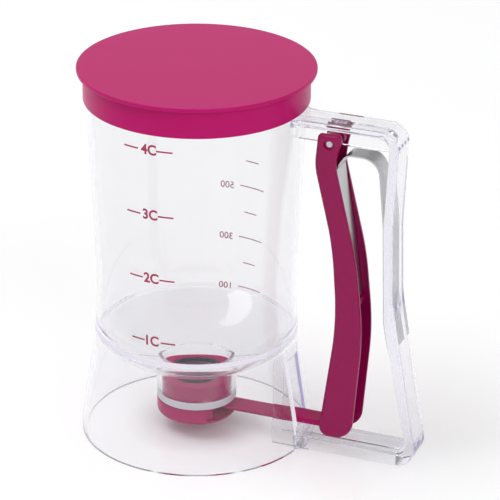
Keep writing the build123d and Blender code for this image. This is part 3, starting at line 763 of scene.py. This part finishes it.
# ---- handle: a moulded D with a rib under its top arm, rooted in the jug's wall ----
def root_flare(wall_x, low, high):
    """Widening of an arm where it meets the wall, with hollow curved sides."""
    start = wall_x - WALL
    length = WALL + ROOT_FLARE_LENGTH
    half = HANDLE_HALF_WIDTH - HAIR
    shares = [i / ARC_STEPS for i in range(ARC_STEPS + 1)]
    side = [(start + length * t, half + ROOT_FLARE * (1 - t) ** 2) for t in shares]
    outline = side + [(x, -y) for x, y in reversed(side)]
    return edges_rounded(upright("flare", outline, low + HAIR, high - HAIR), HANDLE_EDGE)


def make_handle():
    """D outline with the arm's rib and lug, flared roots, a hollow lower arm and the pin's hole."""
    outer = [(WAIST_RADIUS, ARM_TOP), *GRIP_OUTER, (WAIST_RADIUS, LOWER_ARM_BOTTOM)]
    inner = [(WAIST_RADIUS, ARM_UNDERSIDE), *GRIP_INNER, (WAIST_RADIUS, LOWER_ARM_TOP)]
    outline = rounded(outer, GRIP_OUTER_RADII) + rounded(inner, GRIP_INNER_RADII)[::-1]
    mesh = edges_rounded(slab("handle", outline, HANDLE_HALF_WIDTH), HANDLE_EDGE)
    rib_ends = (WAIST_RADIUS, GRIP_INNER[0][0] - SINK)
    rib_heights = (ARM_RIB_BOTTOM, ARM_UNDERSIDE + SINK)
    mesh = joined(
        mesh,
        edges_rounded(
            block("rib", rib_ends, ARM_RIB_HALF, rib_heights), RIB_EDGE, FINE_BEVEL_SEGMENTS
        ),
        cross_bar("lug", PIVOT, LUG_ROUND, (HAIR - ARM_RIB_HALF, ARM_RIB_HALF - HAIR)),
        root_flare(cone_radius(ARM_TOP), ARM_UNDERSIDE, ARM_TOP),
        root_flare(FOOT_RADIUS, LOWER_ARM_BOTTOM, LOWER_ARM_TOP),
    )
    hollow_ends = (FOOT_RADIUS + LOWER_ARM_WALL, GRIP_INNER[-1][0] - LOWER_HOLLOW_END)
    hollow_heights = (LOWER_ARM_BOTTOM - SINK, LOWER_ARM_TOP - LOWER_ARM_WALL)
    wall = wall_line(-HAIR)
    mesh = cut(
        mesh,
        cross_bar("hole", PIVOT, PIN_RADIUS + HAIR, (-HANDLE_HALF_WIDTH, HANDLE_HALF_WIDTH)),
        block("hollow", hollow_ends, HANDLE_HALF_WIDTH - LOWER_ARM_WALL, hollow_heights),
        lathe("wall", [(0, -SINK), (wall[0][0], -SINK), *wall, (0, wall[-1][1])]),
    )
    handle = new_piece("clear_d_handle", shaded(mesh, CUT_EDGE_ANGLE), clear_handle)
    finished(handle, "jug", "clear_handle", "handle")


# ---- trigger: a channel lever, open towards the grip, on a pin through the arm's rib ----
def trigger_hollow():
    """Space between the cheeks, with the open head and the gate's window through the web."""
    floor = TRIGGER_FOOT + TRIGGER_FLOOR
    corners = [(x + TRIGGER_WALL, z) for x, z in TRIGGER_FRONT[:-1]]
    corners += [(TRIGGER_FRONT[-1][0] + TRIGGER_WALL, floor)]
    corners += [(CLEAR, floor), (CLEAR, TRIGGER_TOP + SINK)]
    radii = TRIGGER_FRONT_RADII[:-1] + [TRIGGER_INNER_ROUND] * 3
    half = TRIGGER_HALF_WIDTH - TRIGGER_WALL
    head_floor = PIVOT[1] - HUB_RADIUS - HUB_RELIEF
    return [
        slab("hollow", rounded_loop(corners, radii), half),
        block("head", (0, CLEAR), half - HAIR, (head_floor, CLEAR)),
        block("window", (0, LINK_BAR[0]), WINDOW_HALF_WIDTH, (floor, floor + WINDOW_HEIGHT)),
    ]


def strip_seat():
    """Cross rib with a step, on which the spring's short leg ends."""
    back = STRIP_FOOT + SEAT_BACK
    foot_x, top_x = x_at(STRIP_LEG, STRIP_FOOT), x_at(STRIP_LEG, back)
    web_x = x_at(TRIGGER_FRONT, STRIP_FOOT) + TRIGGER_WALL / 2
    lip_x = foot_x + STRIP_STAND_OFF + SEAT_LIP
    step = STRIP_FOOT - STRIP_GAP
    outline = [
        (web_x, step - SEAT_THICKNESS),
        (lip_x, step - SEAT_THICKNESS),
        (lip_x, step),
        (foot_x - STRIP_STAND_OFF, step),
        (top_x - STRIP_STAND_OFF, back),
        (web_x, back),
    ]
    return slab("seat", outline, TRIGGER_HALF_WIDTH - TRIGGER_WALL / 2)


def make_trigger():
    """Channel lever with the spring's seat, the gate's cross-bar and two hubs for the pin."""
    outline = rounded_loop(TRIGGER_FRONT + TRIGGER_BACK, TRIGGER_FRONT_RADII + TRIGGER_BACK_RADII)
    whole = slab("trigger", outline, TRIGGER_HALF_WIDTH)
    mesh = cut(edges_rounded(whole, TRIGGER_EDGE, WIDE_BEVEL_SEGMENTS), *trigger_hollow())
    cheek = TRIGGER_HALF_WIDTH - TRIGGER_WALL / 2
    beyond = TRIGGER_HALF_WIDTH + SINK
    mesh = joined(
        mesh,
        strip_seat(),
        cross_bar("link", LINK_BAR, LINK_BAR_RADIUS, (-cheek, cheek)),
        cross_bar("hub", PIVOT, HUB_RADIUS, (HUB_INNER, cheek)),
        cross_bar("hub", PIVOT, HUB_RADIUS, (-cheek, -HUB_INNER)),
    )
    mesh = cut(
        mesh,
        cross_bar("bore", PIVOT, PIN_RADIUS + RUNNING_GAP, (-beyond, beyond)),
        cross_bar("sink", PIVOT, PIN_SINK_RADIUS, (PIN_HALF_LENGTH, beyond)),
        cross_bar("sink", PIVOT, PIN_SINK_RADIUS, (-beyond, -PIN_HALF_LENGTH)),
    )
    trigger = new_piece("channel_trigger", shaded(mesh, CUT_EDGE_ANGLE), shaded_trigger_plastic)
    finished(trigger, "trigger", "magenta_trigger", "trigger")


def make_pin():
    """Pin through the lug of the handle and the hubs of the trigger."""
    bar = cross_bar("pin", PIVOT, PIN_RADIUS, (-PIN_HALF_LENGTH, PIN_HALF_LENGTH))
    mesh = shaded(edges_rounded(bar, PIN_EDGE, FINE_BEVEL_SEGMENTS), CUT_EDGE_ANGLE)
    finished(new_piece("trigger_pin", mesh, pin_plastic), "jug", "clear_pin", "pivot_pin")


def make_spring():
    """Flat strip: a short leg in the trigger, a crest under the rib, a long leg on the grip."""
    last_x = x_at(GRIP_INNER, STRIP_END) - STRIP_STAND_OFF - STRIP_GAP
    corners = [
        *STRIP_LEG,
        (STRIP_CREST_X, STRIP_CREST),
        (STRIP_CREST_X + STRIP_CREST_LENGTH, STRIP_CREST),
        (GRIP_INNER[1][0] - STRIP_STAND_OFF, KNEE_HEIGHT),
        (GRIP_INNER[2][0] - STRIP_STAND_OFF, HEEL_HEIGHT),
        (last_x, STRIP_END),
    ]
    line = [Vector(p) for p in rounded(corners, STRIP_RADII, STRIP_STEPS)]
    sides = ([], [])
    for before, point, after in zip(line[:1] + line, line, line[1:] + line[-1:]):
        along = (after - before).normalized()
        across = Vector((-along.y, along.x)) * STRIP_THICKNESS / 2
        sides[0].append(tuple(point + across))
        sides[1].append(tuple(point - across))
    strip = slab("spring", sides[0] + sides[1][::-1], STRIP_HALF_WIDTH)
    spring = new_piece("leaf_spring", shaded(strip, TURNED_EDGE_ANGLE), spring_steel)
    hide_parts("return_spring")
    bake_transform(spring)


# ---- valve: collar and its soft lining in the boss, gasket, twist-on cap and sliding gate ----
def make_collar():
    """Ring in the boss, with horns beside the gate's path and lugs for the cap."""
    outer = COLLAR_RADIUS
    horn_inner = outer - HORN_WALL
    opening = math.degrees(math.asin((PADDLE_RADIUS + PADDLE_FIT) / horn_inner))
    corners = [
        (outer, SEAT_HEIGHT + SINK),
        (outer, COLLAR_TOP),
        (THROAT_RADIUS, COLLAR_TOP),
        (THROAT_RADIUS, SEAT_HEIGHT),
        (outer, SEAT_HEIGHT),
    ]
    mesh = lathe("collar", rounded(corners, [THROAT_EDGE / 2, THROAT_EDGE, HAIR], COLLAR_STEPS))
    heights = (COLLAR_BOTTOM, SEAT_HEIGHT + SINK)
    ends = (opening, 360 - opening)
    mesh = joined(mesh, tube("horns", horn_inner, outer - HAIR, *heights, *ends))
    reach = (outer - SINK, outer + LUG_STAND_OUT)
    heights = (COLLAR_BOTTOM + HAIR, COLLAR_BOTTOM + LUG_HEIGHT)
    for middle in LUG_ANGLES:
        ends = (middle - LUG_HALF_ANGLE, middle + LUG_HALF_ANGLE)
        mesh = joined(mesh, tube("lug", *reach, *heights, *ends))
    collar = new_piece("boss_collar", shaded(mesh, CUT_EDGE_ANGLE), valve_plastic)
    finished(collar, "jug", "magenta_valve", "valve_collar")


def make_seals():
    """Soft lining of the outlet, and the ring between the boss and the cap."""
    top = top_of("gate_seal")
    cone_top = top - SLEEVE_DEPTH
    corners = [
        (THROAT_RADIUS - HAIR, (top + SEAT_HEIGHT) / 2),
        (THROAT_RADIUS - HAIR, top),
        (SLEEVE_RADIUS, top),
        (SLEEVE_RADIUS, cone_top),
        (OUTLET_RADIUS, cone_top - CONE_DEPTH),
        (OUTLET_RADIUS, SEAT_HEIGHT),
        (THROAT_RADIUS - HAIR, SEAT_HEIGHT),
    ]
    mesh = lathe("lining", rounded(corners, [SEAL_EDGE] * 5, SEAL_STEPS))
    # The lining's near-black colour is painted shade that darkens the outlet's deep throat.
    lining = new_piece("outlet_seal", shaded(mesh, TURNED_EDGE_ANGLE), painted_shade_silicone)
    finished(lining, "jug", "silicone", "gate_seal")
    low, high = bottom_of("boss_gasket"), top_of("boss_gasket") - HAIR
    corners = [(BORE_RADIUS, low), (BOSS_RADIUS, low), (BOSS_RADIUS, high), (BORE_RADIUS, high)]
    mesh = lathe("ring", rounded_loop(corners, [SEAL_EDGE] * 4, SEAL_STEPS))
    ring = new_piece("boss_ring", shaded(mesh, TURNED_EDGE_ANGLE), pale_silicone)
    finished(ring, "jug", "silicone", "boss_gasket")


def make_cap():
    """Cup under the boss: the outlet and its seat ring, a side window and the lug grooves."""
    floor = CAP_BOTTOM + CAP_FLOOR
    inner = CAP_RADIUS - CAP_WALL
    seat_top = GATE_BOTTOM - GATE_GAP
    seat_radius = OUTLET_RADIUS + CAP_SEAT_WIDTH
    corners = [
        (OUTLET_RADIUS, seat_top),
        (OUTLET_RADIUS, CAP_BOTTOM),
        (CAP_RADIUS, CAP_BOTTOM),
        (CAP_RADIUS, CAP_TOP),
        (inner, CAP_TOP),
        (inner, floor),
        (seat_radius, floor),
        (seat_radius, seat_top),
    ]
    radii = [CAP_RIM_ROUND] * 2 + [CAP_EDGE_ROUND] + [CAP_RIM_ROUND] * 5
    mesh = lathe("cap", rounded_loop(corners, radii, CAP_STEPS))
    within, above = inner - SINK, CAP_TOP + SINK
    mesh = cut(mesh, tube("window", within, CAP_RADIUS + SINK, floor, above, *CAP_WINDOW))
    groove = COLLAR_RADIUS + LUG_STAND_OUT + LUG_GAP
    groove_top = COLLAR_BOTTOM + LUG_HEIGHT + LUG_GAP
    reach = LUG_HALF_ANGLE + LUG_PLAY_ANGLE
    for middle in LUG_ANGLES:
        entry = middle + CAP_TWIST
        mesh = cut(
            mesh,
            tube("run", within, groove, floor, groove_top, middle - reach, entry + reach),
            tube("entry", within, groove, floor + HAIR, above, entry - reach, entry + reach),
        )
    cap = new_piece("twist_cap", shaded(mesh, CUT_EDGE_ANGLE), valve_plastic)
    finished(cap, "cap", "magenta_valve", "valve_cap")


def make_gate():
    """Copy of the gate's CAD node with its loose triangles joined and its edges shaded."""
    bm = bmesh.new()
    bm.from_mesh(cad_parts["slide_gate"].data)
    mesh = shaded(built("gate", bm, turn_outwards=False), TURNED_EDGE_ANGLE)
    gate = new_piece("sliding_gate", mesh, valve_plastic)
    finished(gate, "gate", "magenta_gate", "slide_gate")


# ---- printed scales: raised ink on the wall's cone, with angles from -Y towards +X ----
INK_THICKNESS = 0.06 * MM
INK_LIFT = 0.05 * MM
CAPITAL_SHARE = 0.72
CONE_SLOPE = (RIM_RADIUS - WAIST_RADIUS) / (RIM_HEIGHT - WAIST_HEIGHT)
CONE_ZERO = cone_radius(0)
CUP_LOWEST = 65.7 * MM
CUP_PITCH = 33.47 * MM
CUP_LINE_ENDS = {"left": (-17.2, -8.6), "right": (1.5, 10.1)}
CUP_LINE_WIDTH = 0.8 * MM
CUP_MARK_ANGLES = (-4.3, -3.4, -3.0, -2.6)
CUP_MARK_TALL = 5.1 * MM
CUP_MARK_BOLD = 0.2 * MM
CUP_MARK_STRETCH = 0.92
ML_PITCH = 27.2 * MM
ML_LINES = {"long": (55.2 * MM, (159.0, 175.8)), "short": (68.7 * MM, (163.9, 172.6))}
ML_LINE_WIDTH = 0.5 * MM
ML_MARKS = ("100", "300", "500")
ML_MARK_LOWEST = 54.4 * MM
ML_MARK_ANGLE = 184.0
ML_MARK_TALL = 3.6 * MM
ML_MARK_BOLD = 0.03 * MM


def scale_lines_tree():
    """Lines of a printed scale, wrapped on the wall's cone: angle from -Y, height and stand-off."""
    tree = bpy.data.node_groups.new("Scale lines", "GeometryNodeTree")
    sockets = {
        "Lines": ("NodeSocketInt", len(CUP_MARK_ANGLES)),
        "First height": ("NodeSocketFloat", CUP_LOWEST),
        "Pitch": ("NodeSocketFloat", CUP_PITCH),
        "Start angle": ("NodeSocketFloat", 0.0),
        "End angle": ("NodeSocketFloat", 0.1),
        "Line width": ("NodeSocketFloat", CUP_LINE_WIDTH),
        "Ink thickness": ("NodeSocketFloat", INK_THICKNESS),
        "Radius at zero": ("NodeSocketFloat", CONE_ZERO),
        "Radius per height": ("NodeSocketFloat", CONE_SLOPE),
        "Ink": ("NodeSocketMaterial", None),
    }
    for name, (kind, value) in sockets.items():
        socket = tree.interface.new_socket(name, in_out="INPUT", socket_type=kind)
        if value is not None:
            socket.default_value = value
    tree.interface.new_socket("Geometry", in_out="OUTPUT", socket_type="NodeSocketGeometry")
    nodes, links = tree.nodes, tree.links
    given = nodes.new("NodeGroupInput").outputs

    def vector(*values):
        return fed(links, nodes.new("ShaderNodeCombineXYZ"), *values)

    span = maths(nodes, links, "SUBTRACT", given["End angle"], given["Start angle"])
    middle = maths(nodes, links, "MULTIPLY_ADD", span, 0.5, given["Start angle"])
    line = nodes.new("GeometryNodeMeshCube")
    links.new(vector(span, given["Line width"], given["Ink thickness"]), line.inputs["Size"])
    line.inputs["Vertices X"].default_value = LINE_POINTS
    column = nodes.new("GeometryNodeMeshLine")
    links.new(given["Lines"], column.inputs["Count"])
    links.new(vector(middle, given["First height"], 0.0), column.inputs["Start Location"])
    links.new(vector(0.0, given["Pitch"], 0.0), column.inputs["Offset"])
    repeat = nodes.new("GeometryNodeInstanceOnPoints")
    links.new(column.outputs["Mesh"], repeat.inputs["Points"])
    links.new(line.outputs["Mesh"], repeat.inputs["Instance"])
    real = nodes.new("GeometryNodeRealizeInstances")
    links.new(repeat.outputs["Instances"], real.inputs["Geometry"])
    place = nodes.new("GeometryNodeInputPosition")
    parts = nodes.new("ShaderNodeSeparateXYZ")
    links.new(place.outputs["Position"], parts.inputs["Vector"])
    angle, height, stand_off = parts.outputs
    slope, zero = given["Radius per height"], given["Radius at zero"]
    wall = maths(nodes, links, "MULTIPLY_ADD", height, slope, zero)
    radius = maths(nodes, links, "ADD", wall, stand_off)
    across = maths(nodes, links, "MULTIPLY", radius, maths(nodes, links, "SINE", angle))
    ahead = maths(nodes, links, "MULTIPLY", radius, maths(nodes, links, "COSINE", angle))
    deep = maths(nodes, links, "MULTIPLY", ahead, -1.0)
    wrap = nodes.new("GeometryNodeSetPosition")
    links.new(real.outputs["Geometry"], wrap.inputs["Geometry"])
    links.new(vector(across, deep, height), wrap.inputs["Position"])
    paint = nodes.new("GeometryNodeSetMaterial")
    links.new(wrap.outputs["Geometry"], paint.inputs["Geometry"])
    links.new(given["Ink"], paint.inputs["Material"])
    result = nodes.new("NodeGroupOutput")
    links.new(paint.outputs["Geometry"], result.inputs["Geometry"])
    return tree


def scale_lines(name, tree, lines, first, pitch, ends, width):
    """One column of scale lines between two angles, as a plain mesh."""
    piece = placed(name, bpy.data.meshes.new(name))
    values = {
        "Lines": lines,
        "First height": first,
        "Pitch": pitch,
        "Start angle": math.radians(ends[0]),
        "End angle": math.radians(ends[1]),
        "Line width": width,
        "Ink thickness": INK_THICKNESS,
        "Radius at zero": CONE_ZERO + INK_LIFT,
        "Radius per height": CONE_SLOPE,
        "Ink": scale_ink,
    }
    modifier = piece.modifiers.new("Scale lines", "NODES")
    modifier.node_group = tree
    for socket in tree.interface.items_tree:
        if socket.item_type == "SOCKET" and socket.in_out == "INPUT":
            modifier[socket.identifier] = values[socket.name]
    mesh = evaluated(piece)
    piece.modifiers.clear()
    piece.data = mesh
    finished(piece, "jug", "clear_jug")


def scale_mark(name, text, tall, centre_angle, height, bold, stretch=1.0):
    """Number or cup mark wrapped on the wall, upright as read from outside."""
    curve = bpy.data.curves.new(name, "FONT")
    curve.body = text
    curve.align_x = "CENTER"
    curve.align_y = "CENTER"
    curve.size = tall / CAPITAL_SHARE
    curve.extrude = INK_THICKNESS / 2
    curve.offset = bold
    curve.resolution_u = LETTER_STEPS
    written = placed(name + "_text", curve)
    mesh = evaluated(written)
    bpy.data.objects.remove(written)
    for vertex in mesh.vertices:
        x, y, z = vertex.co
        radius = CONE_ZERO + CONE_SLOPE * (height + y) + INK_LIFT + z
        angle = math.radians(centre_angle) + x * stretch / cone_radius(height)
        vertex.co = (radius * math.sin(angle), -radius * math.cos(angle), height + y)
    bm = bmesh.new()
    bm.from_mesh(mesh)
    finished(new_piece(name, built(name, bm), scale_ink), "jug", "clear_jug")


def make_scales():
    """Cup marks on the near side and millilitres on the far side."""
    tree = scale_lines_tree()
    cups = (len(CUP_MARK_ANGLES), CUP_LOWEST, CUP_PITCH)
    for side, ends in CUP_LINE_ENDS.items():
        scale_lines(f"cup_lines_{side}", tree, *cups, ends, CUP_LINE_WIDTH)
    style = (CUP_MARK_BOLD, CUP_MARK_STRETCH)
    for i, angle in enumerate(CUP_MARK_ANGLES):
        name, text, height = f"cup_mark_{i + 1}", f"{i + 1}C", CUP_LOWEST + i * CUP_PITCH
        scale_mark(name, text, CUP_MARK_TALL, angle, height, *style)
    for kind, (first, ends) in ML_LINES.items():
        scale_lines(f"ml_lines_{kind}", tree, len(ML_MARKS), first, ML_PITCH, ends, ML_LINE_WIDTH)
    for i, text in enumerate(ML_MARKS):
        name, height = f"ml_mark_{text}", ML_MARK_LOWEST + i * ML_PITCH
        scale_mark(name, text, ML_MARK_TALL, ML_MARK_ANGLE, height, ML_MARK_BOLD)


# ---- stage, light and camera, with angles in degrees and the lens and sensor in millimetres ----
FLOOR_HALF = 3.0
FLOOR_HEIGHTS = (-0.02, -0.1 * MM)
FLOOR_COLOUR = (0.94, 0.94, 0.95)
FLOOR_ROUGHNESS = 0.22
FLOOR_SHINE = 0.4
# The floor's own light is low within the reach of the middle, a painted shadow under the valve, and
# rises beyond it so that the floor stays white.
FLOOR_LIFT_AND_PAINTED_SHADOW = (0.03, 0.25)
PAINTED_SHADOW_REACH = (16 * MM, 36 * MM)
ROOM_LIGHT = 0.50
CEILING_SEEN = 0.35
CEILING_EDGES = (0.22, 0.50)
LAMP_AIM = (0, 0, 0.08)
CAMERA_PLACE = (502.7 * MM, -1222.1 * MM, 692.8 * MM)
CAMERA_AZIMUTH = 21.239
CAMERA_ELEVATION = 24.377
CAMERA_ROLL = 0.464
CAMERA_LENS = 214.89
CAMERA_SENSOR = 36.0
CAMERA_CLIP = (0.1, 20.0)
CLEAR_BOUNCES = 24


def seen_rays(nodes, links):
    """1 for the rays that show the surroundings: straight, reflected or through clear plastic."""
    path = nodes.new("ShaderNodeLightPath")
    kinds = ("Is Camera Ray", "Is Glossy Ray", "Is Transmission Ray")
    return highest(nodes, links, *(path.outputs[kind] for kind in kinds))


def make_floor():
    """Pale floor that stays white in view, with a painted shadow close round its middle where its
    own light is lower, over the shadow that the object casts.
    """
    mesh = block("floor", (-FLOOR_HALF, FLOOR_HALF), FLOOR_HALF, FLOOR_HEIGHTS)
    material, nodes, links, shader = node_material("Pale floor")
    shader.inputs["Base Color"].default_value = (*FLOOR_COLOUR, 1)
    shader.inputs["Roughness"].default_value = FLOOR_ROUGHNESS
    shader.inputs["Specular IOR Level"].default_value = FLOOR_SHINE
    place = nodes.new("ShaderNodeTexCoord")
    distance = nodes.new("ShaderNodeVectorMath")
    distance.operation = "LENGTH"
    links.new(place.outputs["Object"], distance.inputs[0])
    # Painted shadow: the floor's own light dims close round the middle.
    glow = spread(nodes, links, distance.outputs["Value"], FLOOR_LIFT_AND_PAINTED_SHADOW, PAINTED_SHADOW_REACH)
    lift_and_painted_shadow = maths(nodes, links, "MULTIPLY", seen_rays(nodes, links), glow)
    shader.inputs["Emission Color"].default_value = (1, 1, 1, 1)
    links.new(lift_and_painted_shadow, shader.inputs["Emission Strength"])
    new_piece("floor", mesh, material)


def make_world():
    """White surroundings where they are seen, under a dim ceiling, and plain light elsewhere."""
    world = bpy.data.worlds.new("Studio")
    bpy.context.scene.world = world
    world.use_nodes = True
    nodes, links = world.node_tree.nodes, world.node_tree.links
    sky = nodes["Background"]
    sky.inputs["Color"].default_value = (1, 1, 1, 1)
    direction = nodes.new("ShaderNodeTexCoord")
    parts = nodes.new("ShaderNodeSeparateXYZ")
    links.new(direction.outputs["Generated"], parts.inputs["Vector"])
    surroundings = spread(nodes, links, parts.outputs["Z"], (1.0, CEILING_SEEN), CEILING_EDGES)
    strength = nodes.new("ShaderNodeMapRange")
    strength.inputs["To Min"].default_value = ROOM_LIGHT
    links.new(seen_rays(nodes, links), strength.inputs["Value"])
    links.new(surroundings, strength.inputs["To Max"])
    links.new(strength.outputs["Result"], sky.inputs["Strength"])


def soft_lamp(name, place, size, watts):
    """Round lamp that faces the object."""
    lamp = bpy.data.lights.new(name, "AREA")
    lamp.shape = "DISK"
    lamp.size = size
    lamp.energy = watts
    holder = placed(name, lamp)
    holder.location = place
    holder.rotation_mode = "QUATERNION"
    holder.rotation_quaternion = (Vector(LAMP_AIM) - Vector(place)).to_track_quat("-Z", "Y")


def make_camera():
    """Camera at its place, turned by azimuth and elevation and rolled a little."""
    camera = bpy.data.cameras.new("camera")
    camera.sensor_width = CAMERA_SENSOR
    camera.lens = CAMERA_LENS
    camera.clip_start, camera.clip_end = CAMERA_CLIP
    holder = placed("camera", camera)
    azimuth, elevation = math.radians(CAMERA_AZIMUTH), math.radians(CAMERA_ELEVATION)
    back = Vector((
        math.sin(azimuth) * math.cos(elevation),
        -math.cos(azimuth) * math.cos(elevation),
        math.sin(elevation),
    ))
    holder.location = CAMERA_PLACE
    holder.rotation_mode = "QUATERNION"
    level = (-back).to_track_quat("-Z", "Y")
    roll = Matrix.Rotation(math.radians(CAMERA_ROLL), 4, "Z").to_quaternion()
    holder.rotation_quaternion = level @ roll
    bpy.context.scene.camera = holder


def make_studio():
    """View settings, light paths deep enough for clear plastic, floor, world, lamps and camera."""
    scene = bpy.context.scene
    scene.view_settings.view_transform = "Standard"
    scene.cycles.max_bounces = CLEAR_BOUNCES
    scene.cycles.transmission_bounces = CLEAR_BOUNCES
    scene.cycles.glossy_bounces = CLEAR_BOUNCES
    scene.cycles.transparent_max_bounces = CLEAR_BOUNCES
    make_floor()
    make_world()
    soft_lamp("key", (-1.0, -0.5, 2.0), size=1.4, watts=17.0)
    soft_lamp("fill", (1.4, -1.2, 1.4), size=1.3, watts=11.5)
    make_camera()


make_studio()
make_jug()
make_lid()
make_handle()
make_trigger()
make_pin()
make_spring()
make_collar()
make_seals()
make_cap()
make_gate()
make_scales()
